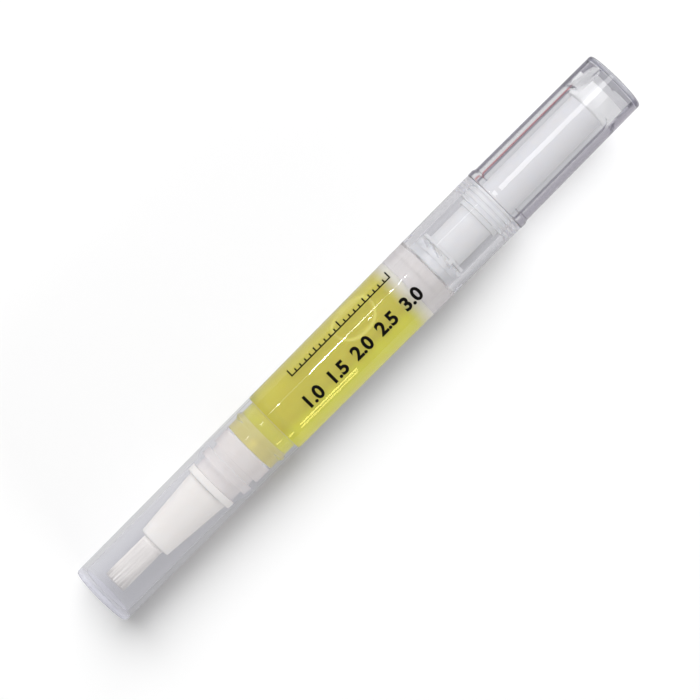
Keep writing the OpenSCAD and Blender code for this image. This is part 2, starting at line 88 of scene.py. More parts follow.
def addObject(name, data):
    made = bpy.data.objects.new(name, data)
    bpy.context.scene.collection.objects.link(made)
    return made


# Camera: straight above the middle of the pen, which runs from lower left to upper right
cameraSet = {
    "distance": 0.611,            # from the pen's axis
    "frameWidth": 0.12978,        # what the picture takes in at that distance
    "sensor": 36,
    "nearest": 0.01,              # anything closer is cut off
    "penTurn": 45.11,             # of the pen in the picture, degrees
    "aimRight": -1.5,             # the middle of the picture from the pen's middle, mm
    "aimUp": -2.13,
}


def addCamera(options):
    data = bpy.data.cameras.new("camera")
    data.sensor_width = options["sensor"]
    data.lens = options["sensor"] * options["distance"] / options["frameWidth"]
    data.clip_start = options["nearest"]
    turn = math.radians(options["penTurn"])
    right = Vector((math.cos(turn), -math.sin(turn), 0))
    up = Vector((math.sin(turn), math.cos(turn), 0))
    aim = penMiddle + right * options["aimRight"] * mm + up * options["aimUp"] * mm
    stand = Matrix((right, up, Vector((0, 0, 1)))).transposed().to_4x4()
    stand.translation = aim + Vector((0, 0, options["distance"]))
    camera = addObject("camera", data)
    camera.matrix_world = stand
    bpy.context.scene.camera = camera


addCamera(cameraSet)
print("camera placed")


# Shader maths: a wired socket takes part in a sum and adds its Math nodes
class Wire:
    def __init__(self, paint, socket):
        self.paint = paint
        self.socket = socket

    def sum(self, operation, first, second=0):
        return self.paint.wire("ShaderNodeMath", {"operation": operation}, {0: first, 1: second})

    def __add__(self, other):
        return self.sum("ADD", self, other)

    def __radd__(self, other):
        return self.sum("ADD", other, self)

    def __rsub__(self, other):
        return self.sum("SUBTRACT", other, self)

    def __mul__(self, other):
        return self.sum("MULTIPLY", self, other)

    def __rmul__(self, other):
        return self.sum("MULTIPLY", other, self)

    def __pow__(self, other):
        return self.sum("POWER", self, other)

    def __abs__(self):
        return self.sum("ABSOLUTE", self)

    def most(self, other):
        return self.sum("MAXIMUM", self, other)

    def least(self, other):
        return self.sum("MINIMUM", self, other)


# Where a wall of the pen changes sides
wallSet = {
    "turnOver": 0.15,                 # half the step from its inner to its outer side, as a cosine
    "boreRadius": 5.8,                # it counts as a bore up to here, mm
    "outerRadius": 6.2,               # and as the outside from here
    "endFrom": 0.7, "endTo": 0.95,    # how squarely an end face looks along the pen
    "halfStep": 1.0,                  # half the step between the pen's two halves, mm
}


class Paint:
    def __init__(self, name):
        self.material = bpy.data.materials.new(name)
        self.material.use_nodes = True
        self.tree = self.material.node_tree
        self.tree.nodes.clear()
        self.output = self.add("ShaderNodeOutputMaterial")

    def add(self, kind, settings=None, values=None):
        made = self.tree.nodes.new(kind)
        for key, value in (settings or {}).items():
            setattr(made, key, value)
        for key, value in (values or {}).items():
            socket = made.inputs[key]
            value = value.socket if isinstance(value, Wire) else value
            if isinstance(value, bpy.types.NodeSocket):
                self.tree.links.new(value, socket)
            else:                     # colours get their alpha here
                socket.default_value = (*value, 1) if socket.type == "RGBA" else value
        return made

    def wire(self, kind, settings=None, values=None, output=0):
        return Wire(self, self.add(kind, settings, values).outputs[output])

    def finish(self, shader, inside=None):
        self.tree.links.new(shader.socket, self.output.inputs["Surface"])
        if inside:
            self.tree.links.new(inside.socket, self.output.inputs["Volume"])
        return self.material

    def skin(self, values):
        return self.wire("ShaderNodeBsdfPrincipled", None, values)

    def mixed(self, factor, first, second):  # shaders
        return self.wire("ShaderNodeMixShader", None, {0: factor, 1: first, 2: second})

    def blend(self, factor, first, second):  # colours
        return self.wire("ShaderNodeMix", {"data_type": "RGBA"}, {0: factor, 6: first, 7: second}, 2)

    def vector(self, operation, first, second=(0, 0, 0), output=0):
        return self.wire("ShaderNodeVectorMath", {"operation": operation}, {0: first, 1: second}, output)

    def part(self, vector, index):    # 0 along the pen, 1 to its side
        return self.wire("ShaderNodeSeparateXYZ", None, {0: vector}, index)

    def ray(self, question):
        return self.wire("ShaderNodeLightPath", output=question)

    def normal(self):
        return self.wire("ShaderNodeNewGeometry", output="Normal")

    def coords(self, stretch=1):      # object coordinates, squeezed along the pen to draw a pattern out
        place = self.wire("ShaderNodeTexCoord", output="Object")
        return self.wire("ShaderNodeMapping", None, {"Vector": place, "Scale": (stretch, 1, 1)})

    def noise(self, size, detail=2.0, stretch=1):       # size of a blotch in mm
        return self.wire("ShaderNodeTexNoise", None, {
            "Vector": self.coords(stretch), "Scale": 1 / (size * mm), "Detail": detail})

    def bump(self, height, depth):    # depth in mm
        return self.wire("ShaderNodeBump", None, {"Height": height, "Distance": depth * mm, "Strength": 1.0})

    def ramp(self, value, start, end, low=0, high=1):
        return self.wire("ShaderNodeMapRange", {"interpolation_type": "SMOOTHSTEP"}, {
            "Value": value, "From Min": start, "From Max": end, "To Min": low, "To Max": high})

    def between(self, value, look, name):     # rises from nameFrom to nameTo of the look
        return self.ramp(value, look[name + "From"], look[name + "To"])

    def alongPen(self, look, name):   # the same for places along the pen, mm
        return self.ramp(self.part(self.coords(), 0), along(look[name + "From"]), along(look[name + "To"]))

    def across(self):                 # from the pen's axis to the skin
        return self.vector("MULTIPLY", self.vector("SUBTRACT", self.coords(), penMiddle), (0, 1, 1))

    def facing(self):                 # how far the hit side of the skin faces away from the pen's axis
        return self.vector("DOT_PRODUCT", self.vector("NORMALIZE", self.across()), self.normal(), "Value")

    def outside(self):                # 1 on the outer skin, 0 in the bores
        radius = self.vector("LENGTH", self.across(), output="Value")
        return self.ramp(radius, wallSet["boreRadius"] * mm, wallSet["outerRadius"] * mm)

    def endFaces(self):               # 1 on faces that look along the pen
        return self.between(abs(self.part(self.normal(), 0)), wallSet, "end")

    def straight(self, shader, look):     # light on its way to a lamp goes straight through
        passing = self.ray("Is Shadow Ray").most(self.ray("Is Diffuse Ray"))
        turnOver = wallSet["turnOver"]
        openness = self.ramp(self.facing(), -turnOver, turnOver, look["outward"], look["inward"])
        if "openFrom" in look:        # clearer towards the knob
            openness = openness + (1 - openness) * self.alongPen(look, "open")
        clear = self.wire("ShaderNodeBsdfTransparent", None, {"Color": (1, 1, 1)})
        return self.mixed(passing * openness, shader, clear)


# Clear mouldings: faint flow lines along the pen, painted shade darkening the edges, and a milky veil
def clearPlastic(name, look):
    paint = Paint(name)
    flow = paint.noise(look["flowWidth"], 3.0, look["flowStretch"])
    weight = paint.wire("ShaderNodeLayerWeight", None, {"Blend": 0.5}, "Facing")
    halfStep = wallSet["halfStep"] * mm
    far = paint.ramp(paint.part(paint.coords(), 1), -halfStep, halfStep)     # 1 on the half towards the light
    wall = paint.blend(flow, look["tint"], look["flowTint"])
    if "fringe" in look:              # red fringe where the bore's edge bends light
        middle, half = look["fringeAt"], look["fringeHalf"]
        line = paint.ramp(weight, middle - half, middle) * paint.ramp(weight, middle, middle + half, 1, 0)
        line = line * paint.outside() * far * (1 - paint.alongPen(look, "tail"))
        wall = paint.blend(line, wall, look["fringe"])
    # painted shade: the walls darken towards their edges, standing in for the dim surroundings seen through
    # them
    wall = paint.blend(paint.between(weight, look, "edge"), wall, look["edgeShadeTint"])
    if "nearTint" in look:            # the half away from the light darkens sooner
        near = paint.between(weight, look, "near") * (1 - far) * paint.outside()
        wall = paint.blend(near, wall, look["nearTint"])
    # painted shade: the walls of the barrel's empty rear darken towards their edges
    if "emptyRearShade" in look:            # the empty rear of the barrel
        rear = paint.between(weight, look, "rear") * paint.alongPen(look, "empty")
        wall = paint.blend(rear, wall, look["emptyRearShade"])
    gloss = paint.skin({
        "Base Color": wall, "Roughness": 0.0, "Transmission Weight": 1.0, "IOR": look["ior"],
        "Normal": paint.bump(flow, look["flowDepth"])})
    veil = paint.skin({
        "Base Color": look["veilTint"], "Roughness": look["veilRoughness"], "IOR": look["ior"]})
    amount = look["veil"] * (look["veilEven"] + flow * look["veilFlow"])
    if "clearFrom" in look:           # clearer towards the mouth
        amount = amount * (1 - look["clearShare"] * paint.alongPen(look, "clear"))
    if "rimVeil" in look:             # paler round the closed end
        amount = amount + (1 - paint.alongPen(look, "rim")) * look["rimVeil"]
    amount = amount + paint.endFaces() * (look["endVeil"] - amount)
    inside = None
    if "absorb" in look:
        inside = paint.wire("ShaderNodeVolumeAbsorption", None, {
            "Color": look["absorb"], "Density": look["density"]})
    return paint.finish(paint.straight(paint.mixed(amount, gloss, veil), look), inside)


# Oil: clear and glowing in shares, more glow where the walls focus light, and paler before the piston
def oilPaint(look):
    paint = Paint("oil")
    cloud = paint.noise(look["cloudSize"], 2.0, look["cloudStretch"])
    neck = 1 - paint.alongPen(look, "neck")    # deeper in colour
    tint = paint.blend(cloud, look["tint"], look["cloudTint"])
    gloss = paint.skin({
        "Base Color": paint.blend(neck, tint, look["neckTint"]), "Roughness": 0.0,
        "Transmission Weight": 1.0, "IOR": look["ior"]})
    lit = paint.ramp(paint.part(paint.coords(), 1), look["litTo"] * mm, look["litFrom"] * mm, 1, 0)
    lit = lit.most(neck * look["neckLit"])
    glow = paint.skin({
        "Base Color": paint.blend(lit, look["veilTint"], look["litTint"]),
        "Roughness": look["veilRoughness"], "Subsurface Weight": 1.0,
        "Subsurface Radius": look["scatter"], "Subsurface Scale": look["depth"] * mm, "IOR": look["ior"]})
    body = paint.mixed(look["veil"] + lit * look["litVeil"], gloss, glow)
    pale = paint.skin({
        "Base Color": look["paleTint"], "Roughness": look["paleRoughness"],
        "Subsurface Weight": look["paleDepthShare"], "Subsurface Radius": look["paleScatter"],
        "Subsurface Scale": look["depth"] * mm, "IOR": look["ior"]})
    fade = paint.alongPen(look, "pale") * look["paleShare"]
    body = paint.mixed(fade, body, pale)     # the milky piston shows through the last of the oil
    plain = paint.skin({"Base Color": look["bounce"], "Roughness": 1.0})
    body = paint.mixed(paint.ray("Diffuse Depth").least(1), body, plain)     # keeps its colour off the floor
    return paint.finish(paint.straight(body, look))


# A bubble: air inside the oil, with a painted highlight: a pale band round its rim
def airPaint(look, shape):
    paint = Paint("air")
    skin = paint.wire("ShaderNodeBsdfGlass", None, {
        "Color": look["tint"], "Roughness": 0.0, "IOR": 1 / look["oilIor"],
        "Normal": paint.bump(paint.noise(look["rippleSize"]), look["ripple"])})
    rim = paint.skin({"Base Color": look["rimHighlightTint"], "Roughness": look["rimRoughness"]})
    turn = math.radians(shape["turn"])
    outward = paint.vector("SUBTRACT", paint.coords(), Vector((along(shape["middle"]), 0, axisHeight)))
    share = 0                         # 1 on the bubble's outline
    for direction, size, power in (((1, 0, 0), shape["length"], 2 / shape["roundness"]),
                                   ((0, math.cos(turn), -math.sin(turn)), shape["width"], 2)):
        reach = paint.vector("DOT_PRODUCT", outward, direction, "Value")
        share = abs(reach * (2 / (size * mm))) ** power + share
    # painted highlight: the pale band round the outline stands in for light bent at the bubble's edge
    edge = paint.ramp(share, look["rimFrom"], look["rimTo"], 0, look["rim"])
    return paint.finish(paint.straight(paint.mixed(edge, skin, rim), look))


# Moulded white and natural plastic: a satin skin with fine grain, which lets some light in
def satinPlastic(name, look):
    paint = Paint(name)
    cloud = paint.noise(look["cloudSize"], 3.0, look["cloudStretch"])
    colour = paint.blend(cloud, look["colour"], look["cloudColour"])
    if "rearColour" in look:
        colour = paint.blend(paint.alongPen(look, "rear"), colour, look["rearColour"])
    body = paint.skin({
        "Base Color": colour, "Roughness": look["roughness"] + cloud * look["cloudGloss"],
        "Subsurface Weight": look["depthShare"], "Subsurface Radius": look["scatter"],
        "Subsurface Scale": look["depth"] * mm, "IOR": look["ior"],
        "Normal": paint.bump(paint.noise(look["grainSize"], 3.0), look["grainDepth"])})
    if look["through"] > 0:
        clear = paint.skin({
            "Base Color": look["throughTint"], "Roughness": look["throughRoughness"],
            "Transmission Weight": 1.0, "IOR": look["throughIor"]})
        body = paint.mixed(look["through"], body, clear)
    return paint.finish(paint.straight(body, look))


def inkPaint(look):
    paint = Paint("ink")
    grain = paint.noise(look["grainSize"])
    return paint.finish(paint.skin({
        "Base Color": paint.blend(grain, look["colour"], look["grainColour"]),
        "Roughness": look["roughness"] + grain * look["grainGloss"],
        "Specular IOR Level": look["shine"], "Normal": paint.bump(grain, look["grainDepth"])}))


def bristlePaint(look):
    paint = Paint("nylon")
    strand = paint.noise(look["strandWidth"], 1.0, look["strandStretch"])
    # painted shade: darker streaks along the strands stand in for the shade between them
    colour = paint.blend(strand, look["colour"], look["strandShadeColour"])
    skin = paint.skin({
        # painted light: the strands are painted lighter at the root, against the nozzle's shadow there
        "Base Color": paint.blend(paint.alongPen(look, "root"), colour, look["rootLightColour"]),
        "Roughness": look["roughness"] + strand * look["strandGloss"]})
    return paint.finish(paint.straight(skin, look))


# Widths, sizes, depths and places in mm; outward and inward are the shares of lamp light let through each way
clearSet = {
    "tint": (0.97, 0.97, 0.98), "flowTint": (0.96, 0.96, 0.975), "flowWidth": 1.6, "flowStretch": 0.08,
    "flowDepth": 0.00002, "edgeShadeTint": (0.9, 0.88, 0.93), "edgeFrom": 0.3, "edgeTo": 0.8, "ior": 1.55,
    "veil": 0.03, "veilEven": 0.8, "veilFlow": 0.4, "veilTint": (0.8, 0.8, 0.84), "veilRoughness": 0.5,
    "endVeil": 0.5, "outward": 0.99, "inward": 0.3, "openFrom": 34, "openTo": 66,
}
barrelSet = {
    **clearSet, "emptyRearShade": (0.78, 0.77, 0.83), "rearFrom": 0.25, "rearTo": 0.36,
    "emptyFrom": 40.5, "emptyTo": 41.5,
}
capSet = {
    **clearSet, "tint": (0.975, 0.975, 0.985), "flowTint": (0.97, 0.97, 0.98),
    "edgeShadeTint": (0.965, 0.965, 0.975), "ior": 1.01, "veil": 0.09, "veilTint": (0.81, 0.81, 0.9),
    "endVeil": 0.42, "inward": 0.15, "clearFrom": -14, "clearTo": -7, "clearShare": 0.6,
    "rimVeil": 0.3, "rimFrom": -44.8, "rimTo": -43.6,
}
# the knob's edges take a deep painted shade, near black
knobSet = {
    **clearSet, "tint": (0.96, 0.96, 0.97), "edgeShadeTint": (0.06, 0.05, 0.09), "edgeFrom": 0.5, "edgeTo": 0.63,
    "veil": 0.015, "endVeil": 0.3, "outward": 1.0, "inward": 1.0, "absorb": (0.4, 0.4, 0.68), "density": 13,
    "nearTint": (0.3, 0.27, 0.34), "nearFrom": 0.31, "nearTo": 0.43,
    "fringe": (0.5, 0.045, 0.065), "fringeAt": 0.375, "fringeHalf": 0.06, "tailFrom": 82.5, "tailTo": 83.5,
}
filmSet = {
    **clearSet, "tint": (0.97, 0.95, 0.94), "flowTint": (0.96, 0.94, 0.93), "edgeShadeTint": (0.96, 0.94, 0.93),
    "ior": 1.5, "veil": 0.45, "veilTint": (0.76, 0.73, 0.73),
}
oilSet = {
    "tint": (0.965, 0.92, 0.24), "cloudTint": (0.955, 0.91, 0.22), "cloudSize": 6, "cloudStretch": 0.3,
    "ior": 1.5, "veil": 0.36, "veilTint": (0.9, 0.8, 0.05), "veilRoughness": 0.6, "depth": 3.0,
    "scatter": (1.0, 0.9, 0.35), "litVeil": 0.18, "litTint": (1, 0.91, 0.05), "litFrom": -1.6, "litTo": -3.6,
    "neckTint": (0.99, 0.955, 0.08), "neckFrom": -1.5, "neckTo": 1.2, "neckLit": 0.4,
    "paleTint": (0.71, 0.675, 0.65), "paleFrom": 31.3, "paleTo": 35.0, "paleShare": 0.85,
    "paleRoughness": 0.5, "paleDepthShare": 0.6, "paleScatter": (1.0, 0.9, 0.8), "bounce": (0.5, 0.5, 0.48),
    "outward": 0.9, "inward": 0.15,
}
bubbleSet = {
    "tint": (1, 1, 1), "oilIor": 1.2, "ripple": 0.001, "rippleSize": 1.5, "rimHighlightTint": (1, 0.98, 0.7),
    "rimRoughness": 0.6, "rimFrom": 0.72, "rimTo": 0.82, "rim": 0.33, "outward": 1, "inward": 1,
}
bubbleShape = {
    "middle": 24.1, "length": 9.6, "width": 6.7, "height": 0.66, "turn": 43, "wallGap": 0.3,
    "roundness": 0.72, "meridians": 48, "rings": 32,
}
nozzleSet = {
    "colour": (0.81, 0.78, 0.742), "cloudColour": (0.8, 0.77, 0.732), "cloudSize": 2.5, "cloudStretch": 0.4,
    "roughness": 0.38, "cloudGloss": 0.12, "ior": 1.5, "depthShare": 0.5, "depth": 1.5,
    "scatter": (1.0, 0.9, 0.8), "grainSize": 0.12, "grainDepth": 0.003, "through": 0,
    "outward": 0.6, "inward": 0,
}
frontSet = {**nozzleSet, "rearColour": (0.73, 0.69, 0.665), "rearFrom": -16.1, "rearTo": -15.6}
whiteSet = {**nozzleSet, "colour": (0.82, 0.82, 0.82), "cloudColour": (0.8, 0.8, 0.805)}
naturalSet = {
    **nozzleSet, "colour": (0.66, 0.63, 0.63), "cloudColour": (0.64, 0.61, 0.61), "through": 0.35,
    "throughTint": (0.97, 0.95, 0.94), "throughRoughness": 0.25, "throughIor": 1.4,
    "outward": 0.9, "inward": 0.9,
}
bearingSet = {
    **naturalSet, "colour": (0.83, 0.83, 0.86), "cloudColour": (0.8, 0.8, 0.83), "through": 0.55,
    "throughTint": (0.97, 0.97, 0.98), "throughRoughness": 0.15, "throughIor": 1.3,
}
wetSet = {
    **naturalSet, "colour": (0.84, 0.75, 0.26), "cloudColour": (0.81, 0.72, 0.24), "through": 0.45,
    "throughTint": (0.95, 0.88, 0.4),
}
milkySet = {
    **nozzleSet, "colour": (0.72, 0.722, 0.74), "cloudColour": (0.7, 0.702, 0.72), "roughness": 0.3,
    "depthShare": 0.6, "depth": 2.5, "through": 0.12, "throughTint": (0.95, 0.95, 0.98),
    "throughRoughness": 0.35, "throughIor": 1.3, "outward": 0.9, "inward": 0.7, "openFrom": 40, "openTo": 64,
}
# painted highlight: the sleeve's eight-sided head is painted lighter than the rest of the milky plastic
headHighlightSet = {**milkySet, "colour": (0.87, 0.87, 0.87), "cloudColour": (0.85, 0.85, 0.85), "depthShare": 0.05}
inkSet = {
    "colour": (0.003, 0.0028, 0.0025), "grainColour": (0.008, 0.0075, 0.007), "grainSize": 0.08,
    "grainDepth": 0.002, "roughness": 0.5, "grainGloss": 0.2, "shine": 0.05,
}
nylonSet = {
    "colour": (0.9, 0.87, 0.84), "strandShadeColour": (0.72, 0.69, 0.66), "strandWidth": 0.18, "strandStretch": 0.04,
    "rootLightColour": (0.93, 0.9, 0.87), "rootFrom": -32.4, "rootTo": -31.9,
    "roughness": 0.3, "strandGloss": 0.25, "outward": 0.15, "inward": 0.1,
}

capClear = clearPlastic("capClear", capSet)
barrelClear = clearPlastic("barrelClear", barrelSet)
knobClear = clearPlastic("knobClear", knobSet)
oilYellow = oilPaint(oilSet)
filmClear = clearPlastic("film", filmSet)
bubbleAir = airPaint(bubbleSet, bubbleShape)
nozzleWhite = satinPlastic("nozzleWhite", frontSet)
driveWhite = satinPlastic("driveWhite", whiteSet)
natural = satinPlastic("natural", naturalSet)
bearingNatural = satinPlastic("bearingNatural", bearingSet)
wetNatural = satinPlastic("wetNatural", wetSet)
milky = satinPlastic("milky", milkySet)
headHighlightMilky = satinPlastic("headHighlightMilky", headHighlightSet)
ink = inkPaint(inkSet)
nylon = bristlePaint(nylonSet)
print("materials mixed")


# Turned pieces: an outline of (place along the pen, radius, corner radius) in mm, spun round the pen's axis
turning = {
    "sides": 160, "cornerSteps": 5, "sharpAngle": 32,
    "holdBack": 0.09,             # rings this far from each corner keep the shading of long walls even
    "merge": 0.002, "cutMerge": 0.0005,        # points closer than this become one
}


def faceOut(bm):
    bmesh.ops.recalc_face_normals(bm, faces=bm.faces[:])


def score(bm, point, normal, slack):  # new edges where a plane crosses the piece
    bmesh.ops.bisect_plane(bm, geom=bm.verts[:] + bm.edges[:] + bm.faces[:], dist=slack,
                           plane_co=point, plane_no=normal)


def move(bm, reach):
    bmesh.ops.translate(bm, verts=bm.verts[:], vec=reach)


def pull(bm, faces, reach):  # extrudes faces upwards
    grown = bmesh.ops.extrude_face_region(bm, geom=faces)
    verts = [item for item in grown["geom"] if isinstance(item, bmesh.types.BMVert)]
    bmesh.ops.translate(bm, verts=verts, vec=(0, 0, reach))


def outlineWires(bm, outline, ring):
    points = [bm.verts.new((along(z), 0, axisHeight + radius * mm)) for z, radius, _ in outline]
    pairs = list(zip(points, points[1:]))
    if ring:
        pairs.append((points[-1], points[0]))
    for pair in pairs:
        bm.edges.new(pair)
    for point, (_, _, corner) in zip(points, outline):
        if corner > 0:
            bmesh.ops.bevel(bm, geom=[point], offset=corner * mm, offset_type="OFFSET", affect="VERTICES",
                            segments=turning["cornerSteps"], profile=0.5, material=-1, clamp_overlap=True)


def holdCorners(bm, gap):
    for edge in list(bm.edges):
        length = edge.calc_length()
        if length < 4 * gap:
            continue
        first, second = edge.verts
        rest = bmesh.utils.edge_split(edge, first, gap / length)[0]
        if rest.calc_length() < length - 2 * gap:
            rest = edge
        bmesh.utils.edge_split(rest, second if second in rest.verts else first, gap / (length - gap))


def smoothAll(bm):
    limit = math.radians(turning["sharpAngle"])
    for face in bm.faces:
        face.smooth = True
    for edge in bm.edges:
        edge.smooth = not edge.is_manifold or edge.calc_face_angle(0) < limit


def pieceFrom(bm, name, material):
    mesh = bpy.data.meshes.new(name)
    bm.to_mesh(mesh)
    bm.free()
    mesh.materials.append(material)
    return addObject(name, mesh)


def turned(name, outline, material, ring=True, sides=None):
    bm = bmesh.new()
    outlineWires(bm, outline, ring)
    holdCorners(bm, turning["holdBack"] * mm)
    bmesh.ops.spin(bm, geom=bm.verts[:] + bm.edges[:], cent=penMiddle, axis=(1, 0, 0), angle=math.tau,
                   steps=sides or turning["sides"], use_merge=True, use_duplicate=False)
    bmesh.ops.remove_doubles(bm, verts=bm.verts[:], dist=turning["merge"] * mm)
    faceOut(bm)
    smoothAll(bm)
    return pieceFrom(bm, name, material)


def cut(piece, tool, operation):  # the tool is used up
    step = piece.modifiers.new("cut", "BOOLEAN")
    step.operation = operation
    step.solver = "EXACT"
    step.object = tool
    ready = piece.evaluated_get(bpy.context.evaluated_depsgraph_get())
    mesh = bpy.data.meshes.new_from_object(ready)
    piece.modifiers.clear()
    old, piece.data = piece.data, mesh
    bpy.data.meshes.remove(old)
    bpy.data.objects.remove(tool)
    bm = bmesh.new()
    bm.from_mesh(piece.data)
    bmesh.ops.remove_doubles(bm, verts=bm.verts[:], dist=turning["cutMerge"] * mm)
    smoothAll(bm)
    bm.to_mesh(piece.data)
    bm.free()


def prism(name, front, rear, cornerDiameter, sides, turn):
    bm = bmesh.new()
    radius = cornerDiameter / 2 * mm
    stand = (Matrix.Translation((along((front + rear) / 2), 0, axisHeight))
             @ Matrix.Rotation(math.pi / 2, 4, "Y") @ Matrix.Rotation(math.radians(turn), 4, "Z"))
    bmesh.ops.create_cone(bm, cap_ends=True, segments=sides, radius1=radius, radius2=radius,
                          depth=(rear - front) * mm, matrix=stand)
    return pieceFrom(bm, name, driveWhite)


def place(piece, body, slot, *nodes):
    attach(piece, body)
    if nodes:
        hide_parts(*nodes)


# Cap
capEnd, capMouth, capRadius = span("cap")
capShape = {
    "endRadius": 6.375, "edge": 0.6, "mouthWall": 0.47, "floor": 1.5, "boreRadius": 5.36,
    "coneFront": -14.58, "coneRear": -13.38, "dimpleRadius": 0.8, "dimpleDepth": 0.2,
}


def makeCap(shape):
    floor = capEnd + shape["floor"]
    mouthBore = capRadius - shape["mouthWall"]
    cap = turned("cap", [
        (capEnd + shape["dimpleDepth"], 0, 0),
        (capEnd + shape["dimpleDepth"], shape["dimpleRadius"], 0.08),
        (capEnd, shape["dimpleRadius"], 0.08),
        (capEnd, shape["endRadius"], shape["edge"]),
        (capMouth, capRadius, 0.12),
        (capMouth, mouthBore, 0.1),
        (shape["coneRear"], mouthBore, 0.2),
        (shape["coneFront"], shape["boreRadius"], 0.2),
        (floor, shape["boreRadius"], 0.5),
        (floor, 0, 0)], capClear, ring=False)
    place(cap, "cap", "cap_clear", "cap")


makeCap(capShape)

# Barrel and neck
barrelFront, barrelRear, barrelRadius = span("barrel")
barrelShape = {
    "frontRadius": 6.6, "shoulderEdge": 0.25, "chamberRadius": 5.0, "boreRadius": 5.2,
    "mechanismLength": 17.1, "stepSlope": 0.6, "coneFront": -0.05, "coneRear": 1.65, "neckBoreRadius": 3.95,
    "tipRadius": 4.65, "ringFront": -13.3, "ringRear": -11.45, "neckRadius": 5.55, "grooveRadius": 4.75,
    "grooveRear": -10.1, "beadFront": -4.35, "beadRear": -2.65, "beadRadius": 6.025, "beadFlat": 0.5,
}


def makeBarrel(shape):
    beadMiddle = (shape["beadFront"] + shape["beadRear"]) / 2
    neck, bead, groove = shape["neckRadius"], shape["beadRadius"], shape["grooveRadius"]
    chamberRear = barrelRear - shape["mechanismLength"]
    barrel = turned("barrel", [
        (barrelFront, shape["neckBoreRadius"], 0.08),
        (barrelFront, shape["tipRadius"], 0.12),
        (shape["ringFront"], shape["tipRadius"], 0.08),
        (shape["ringFront"], neck, 0.15),
        (shape["ringRear"], neck, 0.1),
        (shape["ringRear"], groove, 0.1),
        (shape["grooveRear"], groove, 0.1),
        (shape["grooveRear"], neck, 0.1),
        (shape["beadFront"], neck, 0.2),
        (beadMiddle - shape["beadFlat"] / 2, bead, 0.2),
        (beadMiddle + shape["beadFlat"] / 2, bead, 0.2),
        (shape["beadRear"], neck, 0.2),
        (0, neck, 0.1),
        (0, shape["frontRadius"], shape["shoulderEdge"]),
        (barrelRear, barrelRadius, 0.1),
        (barrelRear, shape["boreRadius"], 0.1),
        (chamberRear, shape["boreRadius"], 0.1),
        (chamberRear - shape["stepSlope"], shape["chamberRadius"], 0.1),
        (shape["coneRear"], shape["chamberRadius"], 0.5),
        (shape["coneFront"], shape["neckBoreRadius"], 0.4)], barrelClear)
    place(barrel, "barrel", "barrel_clear", "barrel")


makeBarrel(barrelShape)

# Oil: it wets the walls, so its skin lies just inside the plastic
oilFront, _, _ = span("oil_fill")
pistonFront, pistonRear, pistonRadius = span("piston")
oilShape = {"wetting": 0.03, "noseRadius": 3.92, "noseLength": 1.1}


def makeOil(shape, walls):
    wet = shape["wetting"]
    oil = turned("oil", [
        (oilFront - wet, 0, 0),
        (oilFront - wet, walls["neckBoreRadius"] + wet, 0),
        (walls["coneFront"], walls["neckBoreRadius"] + wet, 0.4),
        (walls["coneRear"], walls["chamberRadius"] + wet, 0.5),
        (pistonFront + shape["noseLength"] + wet, walls["chamberRadius"] + wet, 0),
        (pistonFront + wet, shape["noseRadius"], 0),
        (pistonFront + wet, 0, 0)], oilYellow, ring=False)
    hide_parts("oil_fill")
    along(walls["coneRear"] + 0.65)
    along(pistonFront)
    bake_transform(oil)


makeOil(oilShape, barrelShape)
print("shells and oil turned")


def makeBubble(shape, walls):
    bm = bmesh.new()
    bmesh.ops.create_uvsphere(bm, u_segments=shape["meridians"], v_segments=shape["rings"], radius=1)
    bmesh.ops.rotate(bm, verts=bm.verts[:], matrix=Matrix.Rotation(math.pi / 2, 3, "Y"))
    for vert in bm.verts:  # long and round-ended
        vert.co.x = math.copysign(abs(vert.co.x) ** shape["roundness"], vert.co.x)
    halves = [shape[key] / 2 * mm for key in ("length", "width", "height")]
    bmesh.ops.scale(bm, verts=bm.verts[:], vec=halves)
    radius = walls["chamberRadius"]
    for vert in bm.verts:  # the top follows the curve of the wall
        vert.co.z -= (radius - math.sqrt(radius ** 2 - (vert.co.y / mm) ** 2)) * mm
    reach = radius - shape["wallGap"] - shape["height"] / 2
    move(bm, (0, 0, reach * mm))
    bmesh.ops.rotate(bm, verts=bm.verts[:], matrix=Matrix.Rotation(-math.radians(shape["turn"]), 3, "X"))
    move(bm, (along(shape["middle"]), 0, axisHeight))
    faceOut(bm)
    smoothAll(bm)
    bubble = pieceFrom(bm, "bubble", bubbleAir)
    place(bubble, "barrel", "oil")
    along(walls["coneRear"] - 0.7)
    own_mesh(bubble)


makeBubble(bubbleShape, barrelShape)

# Brush and nozzle
nozzleFront, nozzleRear, flangeRadius = span("nozzle")
bristleFront, _, tuftRadius = span("bristles")
nozzleShape = {
    "tipRadius": 3.3, "tipEdge": 0.3, "baseRadius": 4.45, "flangeLength": 1.52, "coneLength": 14.09,
    "plugRadius": 3.92, "stemBoreRadius": 2.48, "stemBoreLength": 4.63, "channelRadius": 0.86,
    "holderBoreRadius": 2.86, "holderBoreDepth": 3.09, "pressed": 0.05,
}


def makeNozzle(shape):
    flange = nozzleFront + shape["coneLength"]
    seat = flange + shape["flangeLength"]
    plug = shape["plugRadius"] + shape["pressed"]
    stemFront = nozzleRear - shape["stemBoreLength"]
    holderRear = nozzleFront + shape["holderBoreDepth"]
    nozzle = turned("nozzle", [
        (nozzleFront, shape["holderBoreRadius"], 0.08),
        (nozzleFront, shape["tipRadius"], shape["tipEdge"]),
        (flange, shape["baseRadius"], 0.1),
        (flange, flangeRadius, 0.2),
        (seat, flangeRadius, 0.08),
        (seat, plug, 0.05),
        (nozzleRear, plug, 0.4),
        (nozzleRear, shape["stemBoreRadius"], 0.05),
        (stemFront, shape["stemBoreRadius"], 0),
        (stemFront, shape["channelRadius"], 0),
        (holderRear, shape["channelRadius"], 0),
        (holderRear, shape["holderBoreRadius"], 0)], nozzleWhite)
    place(nozzle, "barrel", "nozzle_white", "nozzle")


makeNozzle(nozzleShape)

